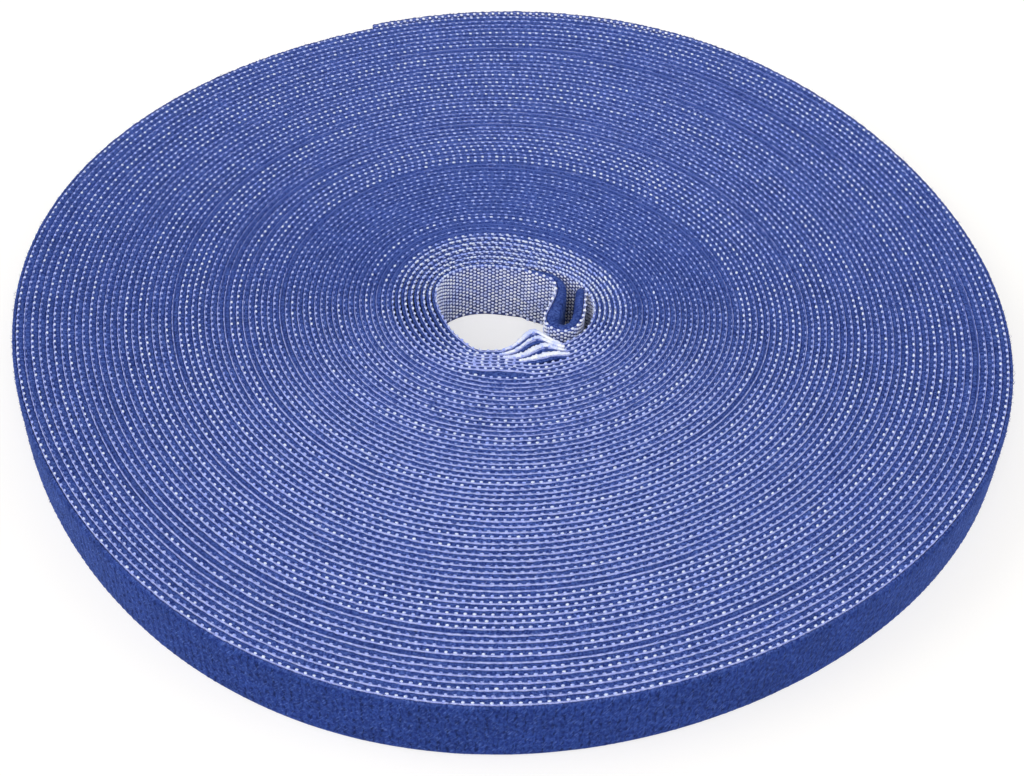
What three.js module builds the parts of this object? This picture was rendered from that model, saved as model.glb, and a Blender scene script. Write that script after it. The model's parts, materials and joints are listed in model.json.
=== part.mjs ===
// A coreless roll of back-to-back hook-and-loop tape, lying flat, in millimetres with +Z up.
// One strip of two bonded plies winds outwards from the hole: the hook ply faces the middle and
// the loop ply faces out. The outer end peels off in short links, and the inner end is a hairpin
// that stands in the hole. The origin is the middle of the roll, on the surface that it lies on.
import * as THREE from 'three';

// The tape
const TAPE_WIDTH = 15;
const HOOK_PLY = 0.5;
const LOOP_PLY = 0.6;
const BOND_GAP = 0.3;

// The roll. Its tight middle is drawn with fewer, thicker turns than the sixty-odd of the real roll;
// the first and the last turns have the thickness of the tape itself.
const ROLL_RADIUS = 107.5;
const TURN_GAP = 0.4;
const LOOPS = 17;
const LOOSE_LOOPS = 2;
const SWELLING_LOOPS = 2;
const OUTER_LOOPS = 1;

// The hole is an oval, and lies off the middle of the roll.
const HOLE_LENGTH = 34.6;
const HOLE_WIDTH = 27.4;
const HOLE_X = 0.9;
const HOLE_Y = -4.3;

// The roll is slightly out of round, with flats between four low lobes.
const LOBES = 4;
const LOBE_HEIGHT = 1.2;
const LOBE_ANGLE = 75;

// The two innermost turns stand off the wall in humps.
const HUMP_HEIGHTS = [4.6, 2.4];
const HUMP_ANGLES = [292, 297];
const HUMP_LENGTH = 16;

// The outer end
const OUTER_END_ANGLE = 111;
const LINKS = 4;
const LINK_LENGTH = 18;
const LINK_GAP = 0.3;

// The hairpin at the inner end
const START_ANGLE = 75;
const FOLD_RADIUS = 3.2;
const FOLD_WALL_CLEARANCE = 1.8;
const CORNER_LENGTH = 3;
const FOLD_FRONT_CLEARANCE = 6.4;
const TIP_LENGTH = 9;

// Facets: steps in each turn, in the outermost one and in a turn's humps, and on the short pieces
const TURN_STEPS = 28;
const OUTER_STEPS = 2 * TURN_STEPS;
const HUMP_STEPS = 4 * TURN_STEPS;
const LINK_STEPS = 3;
const CORNER_STEPS = 4;
const ARM_STEPS = 2;
const FOLD_STEPS = 10;

// Sizes that follow
const TURN = 2 * Math.PI;
const TAPE = HOOK_PLY + BOND_GAP + LOOP_PLY;
const TURN_PITCH = TAPE + TURN_GAP;
const HOLE_RADIUS = (HOLE_LENGTH + HOLE_WIDTH) / 4;
const HOLE_OVAL = (HOLE_LENGTH - HOLE_WIDTH) / 4;
const END_TURN = LOOPS + (OUTER_END_ANGLE - START_ANGLE) / 360;
const LINK_TURNS = LINK_LENGTH / (TURN * ROLL_RADIUS);
const GAP_TURNS = LINK_GAP / (TURN * ROLL_RADIUS);
const WINDING_END = END_TURN - LINKS * LINK_TURNS;
const HUMP_TURNS = HUMP_LENGTH / (TURN * HOLE_RADIUS);
const MIDDLE_LOOPS = END_TURN - OUTER_LOOPS - LOOSE_LOOPS;
const MIDDLE_FILL = ROLL_RADIUS - HOLE_RADIUS - TAPE - TURN_PITCH * END_TURN;
const MIDDLE_PITCH = MIDDLE_FILL / (MIDDLE_LOOPS - SWELLING_LOOPS);

const loopPile = new THREE.MeshStandardMaterial({ color: 0x2f4fae, roughness: 0.95, metalness: 0 });
const hookWeave = new THREE.MeshStandardMaterial({ color: 0xa9b3dc, roughness: 0.7, metalness: 0 });
const PLIES = [
  { name: 'hook_ply', material: hookWeave },
  { name: 'loop_ply', material: loopPile },
];

const radians = (degrees) => degrees * Math.PI / 180;

// The plan of the roll: a radius and an angle become a point. The hole's shift and its oval fade
// out towards the rim, and the lobes fade out towards the hole.
function plan(radius, angle) {
  const out = (radius - HOLE_RADIUS) / (ROLL_RADIUS - HOLE_RADIUS);
  const lobe = LOBE_HEIGHT * out ** 2 * Math.cos(LOBES * (angle - radians(LOBE_ANGLE)));
  const oval = HOLE_OVAL * (1 - out);
  return new THREE.Vector2(
    HOLE_X * (1 - out) + (radius + lobe + oval) * Math.cos(angle),
    HOLE_Y * (1 - out) + (radius + lobe - oval) * Math.sin(angle),
  );
}

const angleAt = (turn) => radians(START_ANGLE) + TURN * turn;

// The outer face of the strip, as a radius: at the tape's own pitch at both ends, and between them at
// a wider one that swells over a few turns and shrinks again.
function face(turn) {
  const into = THREE.MathUtils.clamp(turn - LOOSE_LOOPS, 0, MIDDLE_LOOPS);
  const swelling = Math.max(0, SWELLING_LOOPS - into) ** 2 / (2 * SWELLING_LOOPS);
  const shrinking = Math.max(0, SWELLING_LOOPS - MIDDLE_LOOPS + into) ** 2 / (2 * SWELLING_LOOPS);
  const swollen = into - SWELLING_LOOPS / 2 + swelling - shrinking;
  return HOLE_RADIUS + TAPE + TURN_PITCH * turn + MIDDLE_PITCH * swollen;
}

const humpMiddle = (i) => i + (HUMP_ANGLES[i] - START_ANGLE) / 360;

function hump(turn) {
  let height = 0;
  HUMP_HEIGHTS.forEach((top, i) => {
    const along = 2 * Math.abs(turn - humpMiddle(i)) / HUMP_TURNS;
    if (along < 1) height += top * (1 + Math.cos(Math.PI * along)) / 2;
  });
  return height;
}

// How far the faces of the two plies lie from the strip's hook face, for a strip of some thickness.
function plyFaces(thickness) {
  const hook = (thickness - BOND_GAP) * HOOK_PLY / (HOOK_PLY + LOOP_PLY);
  return [[0, hook], [hook + BOND_GAP, thickness]];
}

// One ply's edges on the spiral, at one place: its hook-side and its loop-side point.
function spiralEdges(turn, ply) {
  const thickness = face(turn) - face(turn - 1) - TURN_GAP;
  const inner = face(turn) - thickness - hump(turn);
  return plyFaces(thickness)[ply].map((depth) => plan(inner + depth, angleAt(turn)));
}

// One ply's edges on a plan curve that runs down the middle of the strip, with the hook face on its right.
function curveEdges(curve, at, ply) {
  const point = curve.getPointAt(at);
  const along = curve.getTangentAt(at);
  const right = new THREE.Vector2(along.y, -along.x);
  return plyFaces(TAPE)[ply].map((depth) => point.clone().addScaledVector(right, TAPE / 2 - depth));
}

// A closed strip that stands on its edge, from the plan points of its two faces.
function strip(edges) {
  const corners = edges.flatMap(([a, b]) => [
    [a.x, a.y, 0], [b.x, b.y, 0], [b.x, b.y, TAPE_WIDTH], [a.x, a.y, TAPE_WIDTH],
  ]);
  const triangles = [];
  for (let i = 0; i < edges.length - 1; i += 1) {
    for (let k = 0; k < 4; k += 1) {
      const here = 4 * i + k;
      const beside = 4 * i + (k + 1) % 4;
      triangles.push(here, beside + 4, beside, here, here + 4, beside + 4);
    }
  }
  const last = 4 * (edges.length - 1);
  triangles.push(0, 1, 2, 0, 2, 3, last, last + 2, last + 1, last, last + 3, last + 2);
  const geometry = new THREE.BufferGeometry();
  geometry.setAttribute('position', new THREE.Float32BufferAttribute(corners.flat(), 3));
  geometry.setIndex(triangles);
  geometry.computeVertexNormals();
  return geometry;
}

// The least distance of a ply's points on one turn to its points on any other turn.
function leastGap(edges, turns) {
  let least = Infinity;
  edges.forEach(([, outer], i) => {
    edges.forEach(([inner], j) => {
      if (turns[j] - turns[i] > 0.5) least = Math.min(least, outer.distanceTo(inner));
    });
  });
  return least;
}

function steps(from, to, perTurn) {
  const stops = [];
  const first = Math.ceil(from * perTurn - 1e-6);
  for (let i = first; i < to * perTurn - 1e-6; i += 1) stops.push(i / perTurn);
  return stops;
}

function evenly(count) {
  return Array.from({ length: count + 1 }, (_, i) => i / count);
}

// A jointed piece of the strip: a group on its hinge line, which holds both plies.
function jointed(name, hinge, makeEdges) {
  const group = new THREE.Group();
  group.position.set(hinge.x, hinge.y, 0);
  PLIES.forEach(({ name: ply, material }, i) => {
    const mesh = new THREE.Mesh(strip(makeEdges(i)).translate(-hinge.x, -hinge.y, 0), material);
    mesh.name = `${ply}_${name}`;
    group.add(mesh);
  });
  return group;
}

// The hairpin's plan: from the innermost turn the strip rounds a corner, runs along the arm, turns
// back in the fold and ends in the tip, which lies beside the wall.
const start = plan(HOLE_RADIUS + TAPE / 2, angleAt(0));
const beside = plan(HOLE_RADIUS + TAPE / 2, angleAt(-1 / 360));
const wallX = HOLE_X + HOLE_LENGTH / 2;
const wallY = HOLE_Y - HOLE_WIDTH / 2;
const tipX = wallX - FOLD_WALL_CLEARANCE - TAPE / 2;
const armX = tipX - 2 * FOLD_RADIUS;
const foldY = wallY + FOLD_FRONT_CLEARANCE + TAPE / 2 + FOLD_RADIUS;
const cornerY = start.y + (beside.y - start.y) * (armX - start.x) / (beside.x - start.x);
const armTop = new THREE.Vector2(armX, cornerY - CORNER_LENGTH);
const foldStart = new THREE.Vector2(armX, foldY);
const foldEnd = new THREE.Vector2(tipX, foldY);
const corner = new THREE.QuadraticBezierCurve(start, new THREE.Vector2(armX, cornerY), armTop);
const arm = new THREE.LineCurve(new THREE.Vector2(armX, armTop.y - LINK_GAP), foldStart);
const fold = new THREE.EllipseCurve(armX + FOLD_RADIUS, foldY, FOLD_RADIUS, FOLD_RADIUS, Math.PI, TURN);
const tip = new THREE.LineCurve(
  new THREE.Vector2(tipX, foldY + LINK_GAP),
  new THREE.Vector2(tipX, foldY + LINK_GAP + TIP_LENGTH),
);

const roll = new THREE.Group();

// The winding, with the corner that leads to the hairpin
const windingStop = WINDING_END - GAP_TURNS;
const humpTurns = HUMP_HEIGHTS.flatMap((_, i) => (
  steps(humpMiddle(i) - HUMP_TURNS / 2, humpMiddle(i) + HUMP_TURNS / 2, HUMP_STEPS)
));
const turns = [...new Set([
  ...steps(0, windingStop, TURN_STEPS),
  ...humpTurns,
  ...steps(windingStop - OUTER_LOOPS, windingStop, OUTER_STEPS),
  windingStop,
])].sort((a, b) => a - b);
PLIES.forEach(({ name, material }, i) => {
  const spiral = turns.map((turn) => spiralEdges(turn, i));
  const lead = evenly(CORNER_STEPS).slice(1).reverse();
  const cornerEdges = lead.map((at) => curveEdges(corner, at, i));
  const mesh = new THREE.Mesh(strip([...cornerEdges, ...spiral]), material);
  mesh.name = `${name}_winding`;
  roll.add(mesh);
  console.log(`${mesh.name}: least gap to itself ${leastGap(spiral, turns).toFixed(2)} mm`);
});

// The outer end, a chain of links. Each hinge line is on the loop face, so a link opens outwards.
let carrier = roll;
const carrierPlace = new THREE.Vector2();
for (let link = 0; link < LINKS; link += 1) {
  const from = WINDING_END + link * LINK_TURNS;
  const stops = evenly(LINK_STEPS).map((at) => from + at * (LINK_TURNS - GAP_TURNS));
  const hinge = plan(face(from), angleAt(from - GAP_TURNS / 2));
  const group = jointed(`outer_end_${link + 1}`, hinge, (i) => stops.map((turn) => spiralEdges(turn, i)));
  group.position.sub(new THREE.Vector3(carrierPlace.x, carrierPlace.y, 0));
  carrier.add(group);
  carrier = group;
  carrierPlace.copy(hinge);
}

// The inner end. The arm's hinge line is on its hook face and the tip's is on its loop face.
const armHinge = new THREE.Vector2(armX - TAPE / 2, armTop.y - LINK_GAP / 2);
const armGroup = jointed('inner_arm', armHinge, (i) => [
  ...evenly(ARM_STEPS).slice(0, -1).map((at) => curveEdges(arm, at, i)),
  ...evenly(FOLD_STEPS).map((at) => curveEdges(fold, at, i)),
].reverse());
const tipHinge = new THREE.Vector2(tipX - TAPE / 2, foldEnd.y + LINK_GAP / 2);
const tipGroup = jointed('inner_tip', tipHinge, (i) => (
  evenly(ARM_STEPS).map((at) => curveEdges(tip, at, i)).reverse()
));
tipGroup.position.sub(armGroup.position);
armGroup.add(tipGroup);
roll.add(armGroup);

export default roll;
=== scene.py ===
"""The looks of a coreless roll of back-to-back hook-and-loop tape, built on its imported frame."""

import json
import math
from collections import namedtuple

import bpy
import numpy as np
from mathutils import Matrix


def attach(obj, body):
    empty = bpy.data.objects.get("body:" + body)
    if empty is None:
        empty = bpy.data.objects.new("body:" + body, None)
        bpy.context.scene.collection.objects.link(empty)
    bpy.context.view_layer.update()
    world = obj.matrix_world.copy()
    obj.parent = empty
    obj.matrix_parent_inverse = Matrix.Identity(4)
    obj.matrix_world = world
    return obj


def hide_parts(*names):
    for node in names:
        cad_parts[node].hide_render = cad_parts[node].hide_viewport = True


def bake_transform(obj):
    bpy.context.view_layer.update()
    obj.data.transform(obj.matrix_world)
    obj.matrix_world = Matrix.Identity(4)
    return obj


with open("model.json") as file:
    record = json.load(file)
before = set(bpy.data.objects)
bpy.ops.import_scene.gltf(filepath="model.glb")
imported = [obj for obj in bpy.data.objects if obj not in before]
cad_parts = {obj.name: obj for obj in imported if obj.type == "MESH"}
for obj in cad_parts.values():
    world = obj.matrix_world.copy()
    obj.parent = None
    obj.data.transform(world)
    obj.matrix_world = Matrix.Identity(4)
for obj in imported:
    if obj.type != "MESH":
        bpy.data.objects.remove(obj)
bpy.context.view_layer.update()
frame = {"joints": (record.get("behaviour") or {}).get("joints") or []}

bl_info = {
    "name": "Hook and loop tape roll",
    "version": (1, 0, 0),
    "blender": (4, 5, 0),
    "location": "3D View > Sidebar > Tape roll",
    "description": "Winds the two plies of a hook and loop tape and dresses their edges and ends",
    "category": "Mesh",
}

MM = 0.001
TURN = 2 * math.pi
LINKS = 4
LOBES = 4

# How strongly nylon bends light
NYLON_IOR = 1.53

# Places to a stitch on the free ends, and points to a turn on the lines that places are measured on
FREE_STEPS = 4
FINE_STEPS = 480

# The middle of the loose turns at the front of the hole, as an angle from the right
FRONT = math.radians(284)

# The tape's layers, as depths: 0 is the tips of the hooks, 0.5 the bond between the plies, and 1 the
# loop face. Past 1 the pile reaches in among the next turn's hooks.
FACE_HOOK = 0.14
EDGE_HOOK = 0.2
GROUND_FACE = 0.2
GROUND_BACK = 0.34
GROUND_FOOT = 0.4
CORD_FOOT = 0.45

# The outlines of the layers, as depths. The drops say how many millimetres a corner is below the top.
WOUND_PILE = [0.53, 0.98, 1.0, 1.14, 1.03, 0.76, 0.54, 0.46]
WOUND_PILE_DROPS = [0.7, 0.22, 0.06, 0.0, 0.14, 0.5]
FREE_PILE_FOOT = [0.51, 0.9]
FREE_PILE_FACE = 0.97
FREE_PILE_CROWN = [0.93, 0.76, 0.57, 0.51]
FREE_PILE_CROWN_DROPS = [0.34, 0.06, 0.08, 0.5]
CORD = [GROUND_BACK, 0.46, CORD_FOOT, GROUND_BACK]
CORD_DROPS = [0.7, 0.7, 0.34, 0.02]

# A hook's half sizes on the hook face, in millimetres: along the tape, out of its face and up
FACE_HOOK_SIZE = [0.42, 0.26, 0.33]

# How far a hook that is half sunk in the next turn's pile stands out of it, from 0 to 1
HALF_SUNK = 0.45

# The heights of the loose fibres on the loop face, in millimetres
FACE_FIBRES = (0.5, 14.6)

# The turns at which the two plies are split, so that no piece has too many faces
LOOP_SPLITS = [30.0, 44.0, 56.0]
HOOK_SPLITS = [46.0]

# The turns up to which the whole hook face has its hooks, its upper rows have them, the humps are
# fringed, and there are edge hooks at every half stitch behind the hole
FACE_END = 1.3
UPPER_ROWS_END = 7.5
FRINGE_END = 4.2
HALF_STITCH_END = 8.0

# Where the innermost turns stand in from the even spiral: the turn, how far in millimetres, the angle
# of the middle, and how many degrees it rises and falls over. The humps are at the front. Then come
# loose turns at the back and at the left, turns that are pressed out, and a slit at the front.
HUMPS = [
    (0, 5.4, 305, 44, 10),
    (1, 4.6, 302, 38, 12),
    (2, 2.8, 302, 28, 12),
    (3, 1.1, 300, 26, 14),
]
LOOSE = (
    [(turn, 2.7 - 0.45 * turn, 105, 85, 85) for turn in range(6)]
    + [(turn, 1.9 - 0.27 * turn, 196, 50, 50) for turn in range(7)]
    + [(turn, 0.13 * turn - 0.8, 247, 16, 16) for turn in range(6)]
    + [(turn, 0.3 * (turn - 1), 270, 36, 24) for turn in range(2, 7)]
)

# The hairpin's hook face from the innermost turn to the tip: plan places in millimetres, and how
# thick the tape is there. The pile swells where the bend frees it.
HAIRPIN = [
    (4.4, 6.7, 1.4), (7.0, 5.8, 1.8), (8.9, 4.8, 2.2), (9.7, 2.9, 2.5), (9.7, 0.9, 2.6),
    (9.1, -1.5, 2.8), (8.3, -3.9, 3.2), (7.6, -6.1, 3.5), (7.5, -8.0, 3.5), (8.3, -9.9, 3.1),
    (9.8, -11.1, 2.8), (11.5, -11.5, 2.7), (13.3, -10.9, 2.6), (14.8, -9.5, 2.5),
    (15.8, -7.1, 2.5), (16.3, -4.5, 2.4), (16.5, -1.3, 2.4), (16.7, 2.0, 2.3),
]

Strip = namedtuple("Strip", "hook bond loop along")


def linear(hex_colour):
    """A colour written as sRGB hex, as linear red, green and blue."""
    parts = [int(hex_colour[i : i + 2], 16) / 255 for i in (1, 3, 5)]
    return tuple(p / 12.92 if p <= 0.04045 else ((p + 0.055) / 1.055) ** 2.4 for p in parts)


def length(name, description, millimetres):
    """A length that a user may set, in millimetres here and in metres in the scene."""
    return bpy.props.FloatProperty(
        name=name, description=description, default=millimetres * MM, unit="LENGTH", precision=5
    )


def angle(name, description, degrees):
    """An angle that a user may set, in degrees here."""
    return bpy.props.FloatProperty(
        name=name, description=description, default=math.radians(degrees), subtype="ANGLE"
    )


def number(name, description, value):
    """A plain number that a user may set."""
    return bpy.props.FloatProperty(name=name, description=description, default=value)


def colour(name, description, hex_colour):
    """A colour that a user may set, as sRGB hex here."""
    return bpy.props.FloatVectorProperty(
        name=name,
        description=description,
        default=linear(hex_colour),
        subtype="COLOR",
        min=0,
        max=1,
    )


class TapeSizes(bpy.types.PropertyGroup):
    """The sizes of the tape and of the roll."""

    tape_width: length("Tape width", "Height of the roll, which lies on the tape's edge", 15)
    stitch: length("Stitch", "From one row of hooks across the tape to the next", 1.7)
    hook_rows: bpy.props.IntProperty(
        name="Hook rows", description="Rows of hooks along the tape", default=30
    )
    roll_radius: length("Roll radius", "Radius of the roll at its outer end", 107.5)
    turns: number("Turns", "Layers from the hole to the rim", 68.1)
    inner_pitch: length("Inner pitch", "From turn to turn near the hole", 1.1)
    start_angle: angle("Start angle", "Where the innermost turn leaves the hairpin", 75)
    hole_length: length("Hole length", "Long way across the hole", 34.6)
    hole_width: length("Hole width", "Short way across the hole", 27.4)
    oval_angle: angle("Oval angle", "Turn of the hole's long way", -11)
    inner_x: length("Inner X", "Middle of the inner turns, sideways", -0.3)
    inner_y: length("Inner Y", "Middle of the inner turns, back and forth", -3.3)
    lobe_height: length("Lobe height", "How far the rim is out of round", 1.2)
    lobe_angle: angle("Lobe angle", "Where one of the lobes is", 75)
    bulge: length("Bulge", "How far each turn bulges at three places", 0.5)
    link_length: length("Link length", "From hinge to hinge on the outer end", 18)
    hook_ply: length("Hook ply", "Thickness of the hook ply where nothing presses it", 0.75)


class TapeColours(bpy.types.PropertyGroup):
    """The colours of the tape."""

    # Painted shade: the dark colour put between the pile's loops, where shade falls
    pile_gap_shade: colour("Pile, gaps", "Gaps between the loops of the pile", "#112054")
    pile_deep: colour("Pile, deep", "Lower loops of the pile", "#1c2e72")
    pile: colour("Pile", "Upper loops of the pile", "#2e478f")
    # Partly painted light: paler loops along the edges, whose colour also paints the light on the pile's
    # crest
    pile_edge_lit: colour("Pile, edge", "The brushed-up loops along the edges", "#465ca1")
    pile_light: colour("Pile, light", "Single fibres that catch the light", "#6580cc")
    ground_deep: colour("Ground, deep", "Between the threads under the hooks", "#2f3972")
    ground: colour("Ground", "The threads under the hooks", "#5562a2")
    ground_edge: colour("Ground, edge", "The threads of the ground beside the cord", "#4f63b0")
    selvedge: colour("Selvedge", "The cord along each edge", "#c0c9fb")
    selvedge_deep: colour("Selvedge, deep", "Between the cord's strands", "#9faaee")
    hook: colour("Hook", "The cut hooks", "#e2eaff")
    hook_deep: colour("Hook, deep", "Where the hooks let the ground through", "#9db0fa")
    # Painted shade: darker hook colours for the hooks half sunk in the pile, which also carry the pile's
    # blue
    shaded_pressed_hook: colour("Pressed hook", "The hooks sunk in the next turn's pile", "#b4c2fa")
    shaded_pressed_hook_deep: colour("Pressed hook, deep", "The pile's blue in those hooks", "#7f92e0")
    # Painted light: a whiter hook colour that lifts the hooks facing the shaded hole
    lit_open_hook: colour("Open hook", "The hooks that face the hole", "#f6f8ff")
    open_hook_deep: colour("Open hook, deep", "The shaded sides of those hooks", "#cad5ff")
    floor: colour("Floor", "The surface that the roll lies on", "#fcf9f4")


class StageSizes(bpy.types.PropertyGroup):
    """The camera and the lights."""

    elevation: angle("Elevation", "How far down the camera looks", 45.94)
    roll: angle("Camera roll", "Turn of the camera about its own line of sight", 2.16)
    lens: number("Lens", "Focal length, in millimetres", 61.9)
    sensor: number("Sensor", "Width of the camera's sensor, in millimetres", 36)
    camera_x: length("Camera X", "Place of the camera, sideways", 1.17)
    camera_y: length("Camera Y", "Place of the camera, back and forth", -281.2)
    camera_z: length("Camera Z", "Height of the camera", 275.7)
    sky: number("Sky", "Light from all round", 0.48)
    key: number("Key", "Light of the large overhead lamp", 1.5)
    key_angle: angle("Key angle", "How far the overhead lamp is moved towards the camera", 45)
    left: number("Left", "Light of the lamp to the left of the roll", 1.0)
    right: number("Right", "Light of the lamp to the right of the roll", 0.4)
    side_angle: angle("Side angle", "How far the side lamps are moved down from overhead", 60)
    lamp_spread: angle("Lamp spread", "How large each lamp looks from the roll", 50)
    shadow: number("Shadow", "How much of the floor's shading shows", 0.6)
    floor_white: number("Floor white", "Light of the floor's plain white share", 1.23)
    floor_size: length("Floor size", "Side of the floor", 6000)


def sizes():
    """The sizes as the user has set them."""
    return bpy.context.scene.tape_sizes


def colours():
    """The colours as the user has set them."""
    return bpy.context.scene.tape_colours


# Plan of the tape


def smooth(share):
    """A share that is kept between 0 and 1 and eased at both ends."""
    share = np.clip(share, 0, 1)
    return share * share * (3 - 2 * share)


def ramp(value, start, stop):
    """0 where a value is at its start, 1 where it is at its stop, and eased between them."""
    return smooth((value - start) / (stop - start))


def hole_radius():
    """The mean radius of the hole."""
    return (sizes().hole_length + sizes().hole_width) / 4


def plan(radius, angle):
    """Plan points of a radius and an angle. The hole's shift and oval fade out towards the rim."""
    size = sizes()
    out = (radius - hole_radius()) / (size.roll_radius - hole_radius())
    shift = 1 - np.clip(out, 0, None) ** 2.5
    oval = (size.hole_length - size.hole_width) / 4 * (1 - out)
    off_round = (
        oval * np.cos(2 * (angle - size.oval_angle))
        + size.bulge * (1 - np.clip(out, 0, None) ** 6) * np.cos(3 * angle)
        + size.lobe_height * out**2 * np.cos(LOBES * (angle - size.lobe_angle))
    )
    x = size.inner_x * shift + (radius + off_round) * np.cos(angle)
    y = size.inner_y * shift + (radius + off_round) * np.sin(angle)
    return np.stack([x, y], -1)


def end_turn():
    """The turn at which the outer end is."""
    return sizes().turns - 1


def link_turns():
    """The length of a link of the outer end, in turns."""
    return sizes().link_length / (TURN * sizes().roll_radius)


def hinge_turn(link):
    """The turn at which a link of the outer end is hinged, counted from 0."""
    return end_turn() - (LINKS - link) * link_turns()


def wound_end():
    """The turn at which the winding ends and the first stretch of the outer end starts."""
    return hinge_turn(0) - link_turns() / 2


def even_radius(turn):
    """The hook face's radius on an even spiral, whose pitch grows from the hole to the rim."""
    size = sizes()
    fill = size.roll_radius - hole_radius() - size.inner_pitch * size.turns
    return hole_radius() + size.inner_pitch * turn + fill / size.turns**2 * turn**2


def stand_in(turn, places):
    """How far the tape stands in from the even spiral at some places."""
    total = np.zeros_like(turn)
    for first, most, degrees, rise, fall in places:
        middle = first + (math.radians(degrees) - sizes().start_angle) / TURN
        past = 360 * (turn - middle)
        share = np.clip(np.where(past < 0, -past / rise, past / fall), 0, 1)
        total += most * MM * (1 + np.cos(math.pi * share)) / 2
    return total


def spiral(turn):
    """The plan points of the tape's hook face, bond and loop face at some turns."""
    turn = np.asarray(turn, float)
    around = sizes().start_angle + TURN * turn
    inward = stand_in(turn, HUMPS + LOOSE)
    from_front = np.abs((around - FRONT + math.pi) % TURN - math.pi)
    # At the front the pile swells into the room that the humps and the slit leave it. Elsewhere a gap
    # stays between the innermost turns.
    room = np.clip(inward - stand_in(turn + 1, HUMPS + LOOSE), 0, 1.5 * MM)
    front = smooth(2.2 - from_front / math.radians(30))
    room *= front * (1 - 0.7 * ramp(turn, 5, 4))
    gap = 0.25 * MM * (1 - front) * ramp(turn, 7, 3)
    inner = even_radius(turn) - inward
    outer = even_radius(turn + 1) - inward + 0.8 * room - gap
    bond = inner + np.minimum((outer - inner) / 2, sizes().hook_ply)
    return plan(inner, around), plan(bond, around), plan(outer, around)


def spaced(line, steps):
    """Even places along a plan line, so many to a stitch: their indices, with fractions, and how far
    along they are."""
    reach = np.concatenate([[0], np.cumsum(np.linalg.norm(np.diff(line, axis=0), axis=1))])
    wanted = np.linspace(0, reach[-1], steps * round(reach[-1] / sizes().stitch) + 1)
    return np.interp(wanted, reach, np.arange(len(line))), wanted


def winding(first, last, steps):
    """The strip of tape from one turn to another, with so many places to a stitch, and the turns of
    its places."""
    fine = np.linspace(first, last, int((last - first) * FINE_STEPS) + 24)
    index, along = spaced(spiral(fine)[1], steps)
    turn = np.interp(index, np.arange(len(fine)), fine)
    return Strip(*spiral(turn), along), turn


def hairpin(steps):
    """The strip of tape in the hole, from its tip to the innermost turn, with so many places to a
    stitch."""
    hook, _, loop = (line[0] for line in spiral(np.array([0.0])))
    first = (*hook, np.linalg.norm(loop - hook))
    knots = np.array([first] + [(x * MM, y * MM, t * MM) for x, y, t in HAIRPIN])[::-1]
    before = np.concatenate([[2 * knots[0] - knots[1]], knots, [2 * knots[-1] - knots[-2]]])
    share = np.linspace(0, 1, 12, endpoint=False)[:, None]
    pieces = []
    for a, b, c, d in zip(before, before[1:], before[2:], before[3:]):
        bend = (2 * a - 5 * b + 4 * c - d) * share**2 + (3 * b - a - 3 * c + d) * share**3
        pieces.append((2 * b + (c - a) * share + bend) / 2)
    line = np.concatenate(pieces + [knots[-1:]])
    index, along = spaced(line[:, :2], steps)
    places = np.stack([np.interp(index, np.arange(len(line)), part) for part in line.T], -1)
    tangent = np.gradient(places[:, :2], axis=0)
    tangent /= np.linalg.norm(tangent, axis=1, keepdims=True)
    to_loop = np.stack([tangent[:, 1], -tangent[:, 0]], -1)
    thick = places[:, 2:]
    bond = places[:, :2] + to_loop * np.minimum(thick / 2, 0.6 * sizes().hook_ply)
    return Strip(places[:, :2], bond, places[:, :2] + to_loop * thick, along)


def part_of(strip, keep):
    """Some of a strip's places."""
    return Strip(*(line[keep] for line in strip))


def tape_length(strip):
    """The length of a strip along its bond."""
    return float(np.linalg.norm(np.diff(strip.bond, axis=0), axis=1).sum())


def at(strip, depth, height):
    """Points of a strip at depths and heights, which have a row for each place."""
    depth = np.asarray(depth)[..., None]
    hook, bond, loop = (line.reshape(len(line), *[1] * (depth.ndim - 2), 2) for line in strip[:3])
    in_hook_ply = hook + (bond - hook) * 2 * depth
    in_loop_ply = bond + (loop - bond) * (2 * depth - 1)
    flat = np.where(depth < 0.5, in_hook_ply, in_loop_ply)
    return np.concatenate([flat, np.asarray(height)[..., None]], -1)


def directions(strip):
    """Unit vectors at each place of a strip: along the tape, and from loop face to hook face."""
    x, y = (strip.hook - strip.loop).T / np.linalg.norm(strip.hook - strip.loop, axis=1)
    return np.stack([y, -x, 0 * x], -1), np.stack([x, y, 0 * x], -1)


def wander(count, step, seed):
    """A smooth random line of values from 0 to 1, with a new one every step places."""
    knots = np.random.default_rng(seed).random(int(count / step) + 4)
    place = np.arange(count) / step
    share = smooth(place % 1)
    first = place.astype(int)
    return knots[first] * (1 - share) + knots[first + 1] * share


# Meshes, as points, faces and the place along the tape and height of each face's corners


def swept(strip, depths, heights):
    """A closed bar along a strip. Its outline runs anticlockwise in depth and height."""
    places, corners = depths.shape
    points = at(strip, depths, heights).reshape(-1, 3)
    here = np.arange((places - 1) * corners).reshape(-1, corners)
    beside = np.roll(here, -1, axis=1)
    sides = np.stack([here, here + corners, beside + corners, beside], -1).reshape(-1, 4)
    start = np.arange(corners)
    end = (places * corners - 1) - start
    order = np.concatenate([sides.ravel(), start, end])
    uv = np.stack([np.repeat(strip.along, corners)[order], points[order, 2]], -1)
    return points, sides.tolist() + [start.tolist(), end.tolist()], uv


def scattered(shape, centres, frames, size):
    """Copies of a small shape. frames gives the directions of its x, y and z at each copy, and size
    its scale."""
    points, faces = shape
    scaled = points[None] * size[:, None, :]
    placed = centres[:, None] + np.einsum("npi,nij->npj", scaled, frames)
    shifts = range(0, len(points) * len(centres), len(points))
    copies = [[corner + shift for corner in face] for shift in shifts for face in faces]
    return placed.reshape(-1, 3), copies, None


def joined(*meshes):
    """Several meshes as one, without places along the tape."""
    points, faces = [], []
    for some_points, some_faces, _ in meshes:
        shift = sum(len(p) for p in points)
        points.append(some_points)
        faces += [[corner + shift for corner in face] for face in some_faces]
    return np.concatenate(points), faces, None


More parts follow.
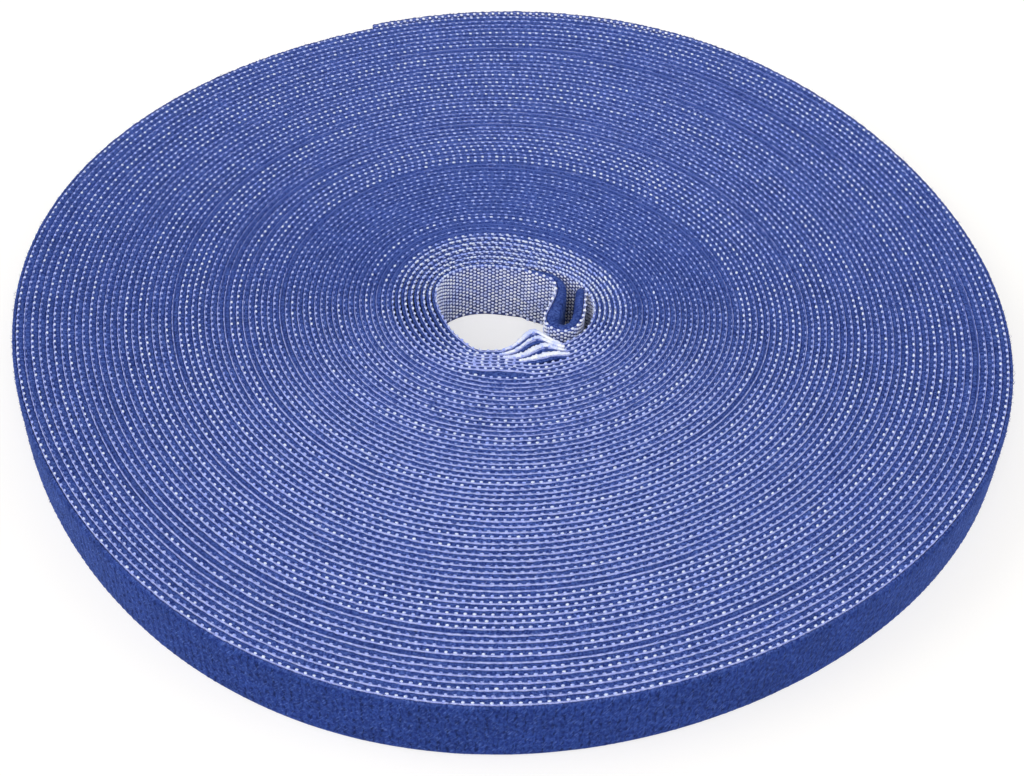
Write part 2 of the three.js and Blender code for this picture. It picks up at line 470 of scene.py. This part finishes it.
def new_piece(name, mesh, look):
    """A smooth mesh object at the origin, in a material."""
    points, faces, uv = mesh
    data = bpy.data.meshes.new(name)
    data.from_pydata(points, [], faces)
    if uv is not None:
        layer = data.uv_layers.new(name="tape")
        layer.data.foreach_set("uv", uv.astype(np.float32).ravel())
    data.shade_smooth()
    data.materials.append(bpy.data.materials.get(look.__name__) or look())
    piece = bpy.data.objects.new(name, data)
    bpy.context.scene.collection.objects.link(piece)
    return piece


def taken_shape():
    """The points and faces of the shape that was just modelled, which is then removed. Blender's own
    order of the faces changes from run to run, so they are sorted."""
    bpy.ops.object.mode_set(mode="OBJECT")
    data = bpy.context.object.data
    points = np.array([v.co for v in data.vertices])
    faces = sorted(list(p.vertices) for p in data.polygons)
    bpy.data.objects.remove(bpy.context.object)
    bpy.data.meshes.remove(data)
    return points, faces


def hook_shape(segments, rings):
    """A cut hook's crown, seen end on: a bead that is pulled over to one side at its top."""
    bpy.ops.object.select_all(action="DESELECT")
    bpy.ops.mesh.primitive_uv_sphere_add(segments=segments, ring_count=rings, radius=1)
    bpy.ops.object.mode_set(mode="EDIT")
    bpy.ops.mesh.select_all(action="DESELECT")
    bpy.ops.object.mode_set(mode="OBJECT")
    for vertex in bpy.context.object.data.vertices:
        vertex.select = vertex.co.z > 0.3
    bpy.ops.object.mode_set(mode="EDIT")
    bpy.ops.transform.translate(value=(0.15, 0, -0.12))
    return taken_shape()


def fibre_shape():
    """A thin pointed fibre with a bend in its middle, one unit long."""
    bpy.ops.object.select_all(action="DESELECT")
    bpy.ops.mesh.primitive_cone_add(
        vertices=3, radius1=1, radius2=0.8, depth=0.5, location=(0, 0, 0.25)
    )
    bpy.ops.object.mode_set(mode="EDIT")
    bpy.ops.mesh.select_all(action="DESELECT")
    bpy.ops.object.mode_set(mode="OBJECT")
    bpy.ops.object.transform_apply(location=True)
    for face in bpy.context.object.data.polygons:
        face.select = face.normal.z > 0.9
    bpy.ops.object.mode_set(mode="EDIT")
    bpy.ops.mesh.extrude_region_move(TRANSFORM_OT_translate={"value": (3, 0, 0.4)})
    bpy.ops.mesh.merge(type="CENTER")
    return taken_shape()


# Materials


def add_node(tree, kind, inputs=None, **settings):
    """Adds a node with its settings, sets or links its inputs, and gives its first output."""
    made = tree.nodes.new(kind)
    for name, value in settings.items():
        setattr(made, name, value)
    for socket, value in (inputs or {}).items():
        if isinstance(value, bpy.types.NodeSocket):
            tree.links.new(value, made.inputs[socket])
        else:
            made.inputs[socket].default_value = value
    return made.outputs[0] if len(made.outputs) else made


def rgba(colour):
    """A colour with full cover, as nodes want it."""
    return (*colour, 1.0)


def new_material(name):
    """An empty material and its node tree."""
    made = bpy.data.materials.new(name)
    made.use_nodes = True
    made.node_tree.nodes.clear()
    return made, made.node_tree


def object_place(tree):
    """The place on the object, in metres."""
    return tree.nodes.new("ShaderNodeTexCoord").outputs["Object"]


def ranged(tree, value, low, high, to_low=0.0, to_high=1.0):
    """A value, spread from one range to another and kept inside it."""
    return add_node(tree, "ShaderNodeMapRange", {0: value, 1: low, 2: high, 3: to_low, 4: to_high})


def mixed(tree, share, first, second):
    """A colour between two others."""
    made = add_node(tree, "ShaderNodeMix", {0: share, 6: first, 7: second}, data_type="RGBA")
    return made.node.outputs[2]


def maths(tree, operation, *values):
    """The result of an operation on one or two values."""
    return add_node(tree, "ShaderNodeMath", dict(enumerate(values)), operation=operation)


def grain(tree, place, turn, across, along, detail):
    """Noise whose cells are so many millimetres across and along, on a place that is turned by some
    degrees."""
    size = (across * MM, along * MM, across * MM)
    turned = {"Vector": place, "Rotation": (0, 0, math.radians(turn)), "Scale": size}
    cells = add_node(tree, "ShaderNodeMapping", turned, vector_type="TEXTURE")
    return add_node(tree, "ShaderNodeTexNoise", {"Vector": cells, "Scale": 1.0, "Detail": detail})


def finish(tree, base, relief, rough, specular, sheen=None):
    """Gives a nylon material its colour, relief, gloss and sheen."""
    surface = {
        "Base Color": base,
        "Roughness": rough,
        "IOR": NYLON_IOR,
        "Specular IOR Level": specular,
        "Normal": add_node(tree, "ShaderNodeBump", relief),
    }
    shader = add_node(tree, "ShaderNodeBsdfPrincipled", surface | (sheen or {}))
    add_node(tree, "ShaderNodeOutputMaterial", {"Surface": shader})


def grained(tree, place, across, deep, light):
    """A colour that shades between two others in grains of some size, and the relief of the grains."""
    cells = grain(tree, place, 0, across, across, 2)
    base = mixed(tree, ranged(tree, cells, 0.36, 0.62), rgba(deep), rgba(light))
    return base, {"Strength": 0.6, "Distance": 0.08 * MM, "Height": cells}


def plain_nylon(name, across, deep, light, rough, specular):
    """A nylon material that only shades between two colours."""
    made, tree = new_material(name)
    finish(tree, *grained(tree, object_place(tree), across, deep, light), rough, specular)
    return made


def brushed_nylon_loop_pile():
    """Brushed nylon loops, dyed royal blue: matt and woolly, in columns a stitch apart, with painted
    shade between the loops, fibres that catch the light, and paler edges where the brush has stood the
    loops up, which also paint light on the pile's crest."""
    made, tree = new_material("brushed_nylon_loop_pile")
    tint = colours()
    tape = add_node(tree, "ShaderNodeUVMap", uv_map="tape")
    parts = add_node(tree, "ShaderNodeSeparateXYZ", {0: tape}).node.outputs
    loops = grain(tree, tape, 0, 0.6, 0.9, 3)
    base = mixed(tree, ranged(tree, loops, 0.38, 0.62), rgba(tint.pile_deep), rgba(tint.pile))
    half = sizes().tape_width / 2
    from_middle = maths(tree, "ABSOLUTE", maths(tree, "SUBTRACT", parts[1], half))
    # Partly painted light: the crest along each edge is paler, for loops brushed up there and for the
    # light on the roll's top
    brushed_lit_crest = ranged(tree, from_middle, half - 0.6 * MM, half - 0.1 * MM)
    # Painted shade: dark flecks between the loops, in columns a stitch apart
    swing = maths(tree, "MULTIPLY", parts[0], TURN / sizes().stitch)
    column = ranged(tree, maths(tree, "SINE", swing), -1, 1, 0.2, 1.0)
    gap_shade = ranged(tree, grain(tree, tape, 0, 0.5, 1.4, 2), 0.48, 0.6)
    gap_shaded = mixed(tree, maths(tree, "MULTIPLY", gap_shade, column), base, rgba(tint.pile_gap_shade))
    # The crest's colour, mottled between the lower loops and the paler edge: partly painted light
    tufts = grain(tree, object_place(tree), 0, 0.45, 0.45, 2)
    tufted = ranged(tree, tufts, 0.38, 0.6)
    crest_colour_lit = mixed(tree, tufted, rgba(tint.pile_deep), rgba(tint.pile_edge_lit))
    edged = mixed(tree, brushed_lit_crest, gap_shaded, crest_colour_lit)
    caught = ranged(tree, grain(tree, tape, -35, 0.3, 1.6, 1), 0.58, 0.74, 0.0, 0.45)
    lit = mixed(tree, caught, edged, rgba(tint.pile_light))
    nap = ranged(tree, grain(tree, object_place(tree), 0, 7, 7, 2), 0.3, 0.7, 0.88, 1.12)
    worn = add_node(tree, "ShaderNodeHueSaturation", {"Value": nap, "Color": lit})
    relief = {"Strength": 0.8, "Distance": 0.2 * MM, "Height": loops}
    sheen = {"Sheen Weight": 0.6, "Sheen Roughness": 0.3, "Sheen Tint": rgba(tint.pile_light)}
    finish(tree, worn, relief, 1.0, 0.12, sheen)
    return made


def woven_nylon_ground():
    """Navy woven nylon under the hooks: a plain weave with a dull thread gloss, and bluer threads
    along the edges."""
    made, tree = new_material("woven_nylon_ground")
    tint = colours()
    place = object_place(tree)
    base, relief = grained(tree, place, 0.5, tint.ground_deep, tint.ground)
    height = add_node(tree, "ShaderNodeSeparateXYZ", {0: place}).node.outputs[2]
    width = sizes().tape_width
    beside = ranged(tree, height, width - 0.8 * MM, width - 0.3 * MM)
    finish(tree, mixed(tree, beside, base, rgba(tint.ground_edge)), relief, 0.8, 0.2)
    return made


def twisted_nylon_selvedge():
    """The lavender nylon cord woven along each edge: pale strands with darker dips between them."""
    tint = colours()
    return plain_nylon("twisted_nylon_selvedge", 0.6, tint.selvedge_deep, tint.selvedge, 0.7, 0.3)


def cut_nylon_hooks():
    """Cut nylon hooks, white and a little see-through, so that the blue beside them tints some."""
    tint = colours()
    return plain_nylon("cut_nylon_hooks", 1.6, tint.hook_deep, tint.hook, 0.5, 0.4)


def shaded_pressed_nylon_hooks():
    """Nylon hooks that are sunk in the pile of the next turn, whose blue shines through them, in darker
    colours that paint the shade they stand in.
    """
    deep, light = colours().shaded_pressed_hook_deep, colours().shaded_pressed_hook
    return plain_nylon("shaded_pressed_nylon_hooks", 1.6, deep, light, 0.6, 0.3)


def lit_open_nylon_hooks():
    """Nylon hooks that no pile presses on: painted whiter than the cut hooks, which lifts the shaded
    hooks in the hole, with bluer sides.
    """
    tint = colours()
    return plain_nylon("lit_open_nylon_hooks", 1.6, tint.open_hook_deep, tint.lit_open_hook, 0.5, 0.4)


def loose_nylon_fibre():
    """Single nylon fibres that stand out of the pile: thin and pale against it, half in its shade."""
    return plain_nylon("loose_nylon_fibre", 3.0, colours().pile, colours().pile_edge_lit, 0.8, 0.2)


def stray_white_fibre():
    """Single undyed fibres on the edges, pale lavender."""
    return plain_nylon("stray_white_fibre", 3.0, colours().selvedge, colours().hook_deep, 0.7, 0.3)


def matt_white_board():
    """Matt white board. To the camera it is plain white, with a light shadow where the roll lies."""
    made, tree = new_material("matt_white_board")
    lit = add_node(tree, "ShaderNodeBsdfDiffuse", {"Color": rgba(colours().floor)})
    stage = bpy.context.scene.tape_stage
    plain = {"Color": (1, 1, 1, 1), "Strength": stage.floor_white}
    white = add_node(tree, "ShaderNodeEmission", plain)
    share = ranged(tree, seen_plainly(tree), 0, 1, 0, 1 - stage.shadow)
    shader = add_node(tree, "ShaderNodeMixShader", {0: share, 1: lit, 2: white})
    add_node(tree, "ShaderNodeOutputMaterial", {"Surface": shader})
    return made


def seen_plainly(tree):
    """1 for what the camera sees, by itself or in a reflection or through glass, and 0 for light on
    other things."""
    path = tree.nodes.new("ShaderNodeLightPath")
    kinds = [path.outputs[f"Is {kind} Ray"] for kind in ("Camera", "Glossy", "Transmission")]
    return maths(tree, "MAXIMUM", maths(tree, "MAXIMUM", kinds[0], kinds[1]), kinds[2])


# The layers of the tape, for any strip of it


def pile_top(draw, count):
    """The heights of the pile's upper edge, which is rough and a little lower than the cords."""
    return sizes().tape_width - 0.1 * MM + draw.uniform(-0.14, 0.14, count) * MM


def wound_pile(strip, seed):
    """The loop ply between other turns. Its upper edge is rough, and reaches in among the next turn's
    hooks."""
    draw = np.random.default_rng(seed)
    count = len(strip.along)
    top = pile_top(draw, count)
    reach = 0.1 * draw.uniform(-0.6, 1, count)
    lean = 0.05 * draw.uniform(-1, 1, count)
    depths = np.tile(WOUND_PILE, (count, 1))
    depths[:, 3] += reach
    depths[:, 4:7] += lean[:, None]
    heights = np.empty_like(depths)
    heights[:, :2] = 0.15 * MM
    heights[:, 2:] = top[:, None] - np.array(WOUND_PILE_DROPS) * MM
    return swept(strip, depths, heights)


def free_pile(strip, seed):
    """The loop ply where its face shows: loops in columns a stitch apart, and a rough face and edges."""
    rows = 36
    draw = np.random.default_rng(seed)
    count = len(strip.along)
    thick = 2 * np.linalg.norm(strip.loop - strip.bond, axis=1)[:, None]
    column = np.cos(TURN * strip.along / sizes().stitch)[:, None]
    puff = (0.04 * column + 0.05 * draw.uniform(-1, 1, (count, rows))) * MM / thick
    top = pile_top(draw, count)
    bottom = (0.05 + 0.08 * wander(count, 14, seed + 1)) * MM
    share = np.linspace(0, 1, rows)
    belly = 0.15 * MM / thick * np.sqrt(np.clip(1 - (2 * share - 1) ** 8, 0, 1))
    face = bottom[:, None] + 0.25 * MM + (top - bottom - 1.05 * MM)[:, None] * share
    foot_depths, crown_depths = (np.tile(d, (count, 1)) for d in (FREE_PILE_FOOT, FREE_PILE_CROWN))
    depths = np.concatenate([foot_depths, FREE_PILE_FACE + belly + puff, crown_depths], 1)
    foot = np.stack([bottom + 0.3 * MM, bottom], -1)
    crown = top[:, None] - np.array(FREE_PILE_CROWN_DROPS) * MM
    return swept(strip, depths, np.concatenate([foot, face, crown], 1))


def ground(strip):
    """The woven ground of the hook ply."""
    low, high = 0.1 * MM, sizes().tape_width - 0.1 * MM
    outline = [GROUND_FACE, GROUND_FOOT, GROUND_BACK, GROUND_FACE]
    depths = np.tile(outline, (len(strip.along), 1))
    heights = np.tile([low, low, high, high], (len(strip.along), 1))
    return swept(strip, depths, heights)


def beat(strip):
    """1 at each stitch along a strip, and -1 halfway to the next."""
    steps = round(sizes().stitch * (len(strip.along) - 1) / np.ptp(strip.along))
    return np.cos(TURN * np.arange(len(strip.along)) / steps)


def cord(strip, seed, upper, sunk=0.0):
    """The cord along one edge of the hook ply. It slopes down from the ground to the pile, swells at
    each stitch, and is sunk where turns press on it."""
    count = len(strip.along)
    swell = beat(strip)
    draw = np.random.default_rng(seed)
    rise = (draw.uniform(-0.16, 0.08, count) + 0.05 * swell)[:, None] * MM
    depths = np.tile(CORD, (count, 1))
    depths[:, 2] += 0.035 * swell + 0.07 * (wander(count, 1.6, seed + 1) - 0.5)
    depths[:, 3] -= 0.03 * swell
    width = sizes().tape_width
    heights = width - np.array(CORD_DROPS) * MM + rise * np.array([0, 0, 1, 0.5])
    heights[:, 2:] -= np.broadcast_to(sunk, count)[:, None]
    if not upper:
        depths = depths[:, ::-1]
        heights = np.maximum(width - heights[:, ::-1], 0.02 * MM)
    return swept(strip, depths, heights)


def upright(strip):
    """For each place of a strip, the directions of a hook's x, y and z: along the tape, out of its
    face and up."""
    along, inward = directions(strip)
    return np.stack([along, inward, np.broadcast_to([0.0, 0.0, 1.0], along.shape)], 1)


def edge_hooks(strip, seed, upper, shape, shown=1.0, loose=0.0):
    """The hooks beside the cord. shown, from 0 to 1, says how far each stands out of the next turn's
    pile, and loose how much longer it is where no pile presses on it."""
    draw = np.random.default_rng(seed)
    count = len(strip.along)
    shown, loose = np.broadcast_to(shown, count), np.broadcast_to(loose, count)
    spread = draw.uniform(0.85, 1.15, (count, 3))
    wide = 0.52 - 0.12 * shown
    tall = 0.24 + 0.06 * shown
    size = np.stack([wide, np.full(count, 0.28), tall], -1) * MM * spread
    size[:, 1] += loose / 2
    sunk = (0.06 + 0.5 * (1 - shown) ** 2 + draw.uniform(-0.06, 0.06, count)) * MM
    height = sizes().tape_width - sunk if upper else sunk + 0.36 * MM
    frames = upright(strip)
    centres = at(strip, np.full(count, EDGE_HOOK), height) + frames[:, 1] * (loose / 2)[:, None]
    return scattered(shape, centres, frames, size)


def face_hooks(strip, seed, rows, shape):
    """Rows of hooks on the hook face, staggered from row to row, on a strip with two places to a
    stitch."""
    size = sizes()
    draw = np.random.default_rng(seed)
    frames = upright(strip)
    centres, turned = [], []
    for row in rows:
        keep = np.arange((row + 1) % 2, len(strip.along), 2)
        astray = draw.uniform(-0.06, 0.06, len(keep)) * MM
        height = size.tape_width * (row + 0.5) / size.hook_rows + astray
        centres.append(at(part_of(strip, keep), np.full(len(keep), FACE_HOOK), height))
        turned.append(frames[keep])
    centres = np.concatenate(centres)
    scale = np.array(FACE_HOOK_SIZE) * MM * draw.uniform(0.88, 1.12, (len(centres), 3))
    return scattered(shape, centres, np.concatenate(turned), scale)


def fibres(shape, strip, seed, count, depth, heights, reach, lift):
    """Single fibres on a strip, from a depth and a range of heights. They lean along the tape and
    upwards. reach is the range of their lengths, and lift says how far they stand out of the loop
    face."""
    draw = np.random.default_rng(seed)
    pick = draw.integers(0, len(strip.along), count)
    along, inward = (d[pick] for d in directions(strip))
    slope = draw.uniform(0.1, 1.4, (count, 1))
    forward = draw.choice([-1, 1, 1, 1], (count, 1))
    up = np.array([0.0, 0.0, 1.0])
    way = along * forward * np.cos(slope) + up * np.sin(slope) - inward * lift
    way /= np.linalg.norm(way, axis=1, keepdims=True)
    side = np.cross(way, inward)
    side /= np.linalg.norm(side, axis=1, keepdims=True)
    frames = np.stack([side, np.cross(way, side), way], 1)
    thick = np.full(count, 0.04 * MM)
    size = np.stack([thick, thick, draw.uniform(*reach, count) * MM], -1)
    centres = at(part_of(strip, pick), np.full(count, depth), draw.uniform(*heights, count) * MM)
    return scattered(shape, centres, frames, size)


def as_ply(piece, strip, slot, *nodes):
    """Hides the CAD nodes that a ply stands for, and gives back the piece. The strip and the slot are
    not used.
    """
    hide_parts(*nodes)
    return piece


def every(strip, steps):
    """The places of a strip that are so many apart, without the last, where the next strip starts."""
    return part_of(strip, np.arange(0, len(strip.along) - 1, steps))


def dressed(name, node, strip, seed):
    """All the layers of a short free stretch of tape, on a strip with FREE_STEPS places to a stitch."""
    hook, fibre = hook_shape(6, 4), fibre_shape()
    whole = every(strip, FREE_STEPS)
    count = int(tape_length(strip) / MM)
    loop = new_piece(f"loop_ply_{name}_pile", free_pile(strip, seed), brushed_nylon_loop_pile)
    base = new_piece(f"hook_ply_{name}_ground", ground(strip), woven_nylon_ground)
    as_ply(loop, strip, "loop_pile", f"loop_ply_{node}")
    as_ply(base, strip, "hook_weave", f"hook_ply_{node}")
    cords = joined(*(cord(strip, seed + 2 + edge, edge) for edge in (0, 1)))
    edges = [edge_hooks(whole, seed + 4 + edge, edge, hook, loose=0.2 * MM) for edge in (0, 1)]
    face = face_hooks(every(strip, 2), seed + 6, range(1, sizes().hook_rows - 1), hook)
    hooks = joined(*edges, face)
    fuzz = fibres(
        fibre, strip, seed + 7, 10 * count, depth=1.0, heights=FACE_FIBRES, reach=(0.4, 1.1), lift=0.35
    )
    # The free ends' hooks get the whiter open colours too, painted light
    dress = [
        new_piece(f"hook_ply_{name}_cords", cords, twisted_nylon_selvedge),
        new_piece(f"hook_ply_{name}_hooks", hooks, lit_open_nylon_hooks),
        new_piece(f"loop_ply_{name}_fuzz", fuzz, loose_nylon_fibre),
    ]
    return [loop, base, *dress]


# Operators


class TAPE_OT_loop_ply(bpy.types.Operator):
    """Winds the loop ply: the blue pile, in stretches, and the outermost turn as a side wall."""

    bl_idname = "tape.loop_ply"
    bl_label = "Loop ply"

    def execute(self, context):
        last = wound_end()
        fibre = fibre_shape()
        ends = [0.0, *LOOP_SPLITS, last - 1.0]
        for i, (first, stop) in enumerate(zip(ends, ends[1:])):
            strip, _ = winding(first, stop, 2)
            pile = wound_pile(strip, 10 + i)
            piece = new_piece(f"loop_ply_turns_{i + 1}", pile, brushed_nylon_loop_pile)
            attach(as_ply(piece, strip, "loop_pile", "loop_ply_winding"), "roll")
        wall, _ = winding(last - 1.0, last, 5)
        piece = new_piece("loop_ply_side_wall", free_pile(wall, 20), brushed_nylon_loop_pile)
        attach(as_ply(piece, wall, "loop_pile", "loop_ply_winding"), "roll")
        whole, _ = winding(0.0, last, 1)
        fuzz = {
            "side_wall": fibres(
                fibre, wall, 22, 7000, depth=1.0, heights=FACE_FIBRES, reach=(0.5, 1.3), lift=0.35
            ),
            "edge": fibres(
                fibre, whole, 23, 6000, depth=0.8, heights=(14.5, 14.8), reach=(0.4, 1.0), lift=0.1
            ),
        }
        for name, mesh in fuzz.items():
            piece = new_piece(f"loop_ply_{name}_fuzz", mesh, loose_nylon_fibre)
            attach(piece, "roll")
        return {"FINISHED"}


def pressed(turn):
    """How tightly the turns press on each other, from 0 to 1: most just outside the loose turns at the
    hole."""
    return ramp(turn, 6, 9) * (1 - ramp(turn, 14, 36))


def behind_hole(turn):
    """1 behind the hole, 0 before it and a share between them beside it."""
    return smooth(0.5 + 0.8 * np.sin(sizes().start_angle + TURN * turn))


def shown_at(turn, seed):
    """How far the edge hooks stand out along the winding: fully in the innermost turns, nearly so in
    the outermost one, and at random between them, but more often beside and before the hole than
    behind it."""
    drift = wander(len(turn), 60, seed) + 0.2 * (1 - behind_hole(turn)) * ramp(turn, 28, 20)
    half_out = ramp(drift, 0.1, 0.2)
    fully_out = ramp(drift, 0.58, 0.7)
    shown = HALF_SUNK * half_out + (1 - HALF_SUNK) * fully_out
    inmost = ramp(turn, 8, 5)
    outmost = 0.8 * ramp(turn - wound_end(), -1.05, -1)
    return np.maximum.reduce([shown * (1 - 0.25 * pressed(turn)), inmost, outmost])


class TAPE_OT_hook_ply(bpy.types.Operator):
    """Winds the hook ply: its navy ground, the cords along its edges, the hooks beside them and stray
    fibres."""

    bl_idname = "tape.hook_ply"
    bl_label = "Hook ply"

    def execute(self, context):
        last = wound_end()
        strip, _ = winding(0.0, last, 1)
        base = new_piece("hook_ply_ground", ground(strip), woven_nylon_ground)
        made = [as_ply(base, strip, "hook_weave", "hook_ply_winding")]
        hook = hook_shape(6, 3)
        ends = [0.0, *HOOK_SPLITS, last]
        for i, (first, stop) in enumerate(zip(ends, ends[1:])):
            half, turn = winding(first, stop, 2)
            upper = cord(half, 30 + i, True, 0.14 * MM * pressed(turn))
            whole, turn = winding(first, stop, 1)
            shown = shown_at(turn, 40 + i)
            # Hooks that stand fully out get the cut hook colours, and half-sunk ones the darker pressed
            # colours: painted shade, with the pile's blue
            free = shown > 0.6
            looks = {cut_nylon_hooks: free, shaded_pressed_nylon_hooks: (shown > 0.05) & ~free}
            for look, keep in looks.items():
                edge = edge_hooks(part_of(whole, keep), 50 + i, True, hook, shown[keep])
                made.append(new_piece(f"hook_ply_{look.__name__}_{i + 1}", edge, look))
            made.append(new_piece(f"hook_ply_upper_cord_{i + 1}", upper, twisted_nylon_selvedge))
        under = edge_hooks(every(strip, 2), 54, False, hook_shape(3, 2))
        lower = cord(strip, 34, False)
        made.append(new_piece("hook_ply_lower_cord", lower, twisted_nylon_selvedge))
        made.append(new_piece("hook_ply_lower_hooks", under, cut_nylon_hooks))
        fibre = fibre_shape()
        stray = fibres(
            fibre, strip, 56, 2000, depth=0.4, heights=(14.8, 15.0), reach=(0.5, 1.5), lift=-0.2
        )
        made.append(new_piece("hook_ply_stray_fibres", stray, stray_white_fibre))
        for piece in made:
            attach(piece, "roll")
        return {"FINISHED"}


class TAPE_OT_hole_face(bpy.types.Operator):
    """Covers the innermost turns, which show in the hole, with their rows of hooks, and fringes their
    humps."""

    bl_idname = "tape.hole_face"
    bl_label = "Hook face in the hole"

    def execute(self, context):
        hook = hook_shape(6, 4)
        rows = sizes().hook_rows
        inmost, _ = winding(0.0, FACE_END, 2)
        loose, _ = winding(FACE_END, UPPER_ROWS_END, 2)
        fringe, turn = winding(0.0, FRINGE_END, 4)
        # The hooks on a hump are longer where the turn before it leaves them room
        before = np.where(turn < 1, stand_in(turn, HUMPS) * 1.35, stand_in(turn - 1, HUMPS))
        room = np.clip(before - stand_in(turn, HUMPS), 0, 1.3 * MM)
        keep = room > 0.15 * MM
        longer = 0.7 * room[keep] * np.random.default_rng(63).uniform(0.7, 1.2, keep.sum())
        between, turn = winding(0.0, HALF_STITCH_END, 2)
        odd = np.arange(1, len(turn) - 1, 2)
        near_hole = ramp(turn[odd], HALF_STITCH_END, HALF_STITCH_END - 2)
        shown = HALF_SUNK * near_hole * behind_hole(turn[odd])
        odd, shown = odd[shown > 0.1], shown[shown > 0.1]
        inner = face_hooks(every(inmost, 1), 60, range(1, rows - 1), hook)
        humps = edge_hooks(part_of(fringe, keep), 62, True, hook, loose=longer)
        upper = face_hooks(every(loose, 1), 61, range(rows - 5, rows - 1), hook)
        halfway = edge_hooks(part_of(between, odd), 64, True, hook, shown)
        # The hooks in the hole get the whiter open colours, painted light against the hole's shade
        for piece in (
            new_piece("hook_ply_hole_face", inner, lit_open_nylon_hooks),
            new_piece("hook_ply_humps", humps, lit_open_nylon_hooks),
            new_piece("hook_ply_loose_turns", joined(upper, halfway), cut_nylon_hooks),
        ):
            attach(piece, "roll")
        return {"FINISHED"}


class TAPE_OT_outer_end(bpy.types.Operator):
    """Makes the outer end of the tape, in stretches along the winding, one for each link."""

    bl_idname = "tape.outer_end"
    bl_label = "Outer end"

    def execute(self, context):
        bodies = ["roll"] + [f"outer_end_{i + 1}" for i in range(LINKS)]
        for link in range(LINKS):
            middle = hinge_turn(link)
            stop = end_turn() if link == LINKS - 1 else middle + link_turns() / 2
            strip, _ = winding(middle - link_turns() / 2, stop, FREE_STEPS)
            reach = 0.5 * link_turns() * np.array([-1, 1])
            start, end = [(*p, sizes().tape_width / 2) for p in spiral(middle + reach)[2]]
            for piece in dressed(bodies[link + 1], bodies[link + 1], strip, 100 + 10 * link):
                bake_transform(piece)
        return {"FINISHED"}


class TAPE_OT_hairpin(bpy.types.Operator):
    """Makes the inner end of the tape, a hairpin that stands in the hole."""

    bl_idname = "tape.hairpin"
    bl_label = "Hairpin"

    def execute(self, context):
        strip = hairpin(FREE_STEPS)
        back = strip.bond[:, 1]
        hinges = {j["child"]: np.array(j["pos_m"]) for j in frame["joints"]}
        front = int(np.argmin(back))
        tip_hinge = hinges["inner_tip"]
        before_tip = tip_hinge[1] - 2.5 * MM
        before_arm = hinges["inner_arm"][1] - 5 * MM
        near_tip = np.argmin(np.abs(back[:front] - before_tip))
        near_arm = front + np.argmin(np.abs(back[front:] - before_arm))
        whole_stitches = [i // FREE_STEPS * FREE_STEPS for i in (near_tip, near_arm)]
        cuts = [0, *whole_stitches, len(back) - 1]
        tip, fold, lead = (part_of(strip, np.arange(a, b + 1)) for a, b in zip(cuts, cuts[1:]))
        for piece in dressed("inner_tip", "inner_tip", tip, 200):
            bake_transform(piece)
        for piece in dressed("inner_arm", "inner_arm", fold, 210):
            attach(piece, "inner_arm")
        for piece in dressed("inner_lead", "winding", lead, 220):
            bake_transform(piece)
        return {"FINISHED"}


class TAPE_OT_stage(bpy.types.Operator):
    """Lays the floor and sets up the lights and the camera."""

    bl_idname = "tape.stage"
    bl_label = "Stage"

    def execute(self, context):
        stage = context.scene.tape_stage
        bpy.ops.object.select_all(action="DESELECT")
        bpy.ops.mesh.primitive_plane_add(size=stage.floor_size)
        floor = context.object
        floor.name = "floor"
        floor.data.materials.append(matt_white_board())
        world = bpy.data.worlds.new("even_sky")
        context.scene.world = world
        world.use_nodes = True
        tree = world.node_tree
        tree.nodes.clear()
        strength = ranged(tree, seen_plainly(tree), 0, 1, stage.sky, 1)
        sky = add_node(tree, "ShaderNodeBackground", {"Color": (1, 1, 1, 1), "Strength": strength})
        add_node(tree, "ShaderNodeOutputWorld", {"Surface": sky})
        lamps = {
            "overhead_lamp": (stage.key, (stage.key_angle, 0, 0)),
            "left_lamp": (stage.left, (0, -stage.side_angle, 0)),
            "right_lamp": (stage.right, (0, stage.side_angle, 0)),
        }
        for name, (energy, turn) in lamps.items():
            bpy.ops.object.light_add(type="SUN", location=(0, 0, 1), rotation=turn)
            context.object.name = name
            context.object.data.energy = energy
            context.object.data.angle = stage.lamp_spread
        bpy.ops.object.camera_add(location=(stage.camera_x, stage.camera_y, stage.camera_z))
        camera = context.object
        tilt = Matrix.Rotation(math.pi / 2 - stage.elevation, 3, "X")
        camera.rotation_euler = (tilt @ Matrix.Rotation(stage.roll, 3, "Z")).to_euler()
        camera.data.lens = stage.lens
        camera.data.sensor_width = stage.sensor
        camera.data.clip_start = 10 * MM
        context.scene.camera = camera
        context.scene.view_settings.view_transform = "Standard"
        return {"FINISHED"}


class TAPE_PT_panel(bpy.types.Panel):
    """Lists the steps that make the roll."""

    bl_idname = "TAPE_PT_panel"
    bl_label = "Tape roll"
    bl_space_type = "VIEW_3D"
    bl_region_type = "UI"
    bl_category = "Tape roll"

    def draw(self, context):
        for step in STEPS:
            self.layout.operator(step.bl_idname)


STEPS = (
    TAPE_OT_stage,
    TAPE_OT_loop_ply,
    TAPE_OT_hook_ply,
    TAPE_OT_hole_face,
    TAPE_OT_outer_end,
    TAPE_OT_hairpin,
)
GROUPS = {"tape_sizes": TapeSizes, "tape_colours": TapeColours, "tape_stage": StageSizes}


def register():
    for made in (*GROUPS.values(), *STEPS, TAPE_PT_panel):
        bpy.utils.register_class(made)
    for name, group in GROUPS.items():
        setattr(bpy.types.Scene, name, bpy.props.PointerProperty(type=group))


def unregister():
    for name in GROUPS:
        delattr(bpy.types.Scene, name)
    for made in (TAPE_PT_panel, *reversed(STEPS), *GROUPS.values()):
        bpy.utils.unregister_class(made)


def main():
    register()
    for step in STEPS:
        group, name = step.bl_idname.split(".")
        getattr(getattr(bpy.ops, group), name)()


if __name__ == "__main__":
    main()
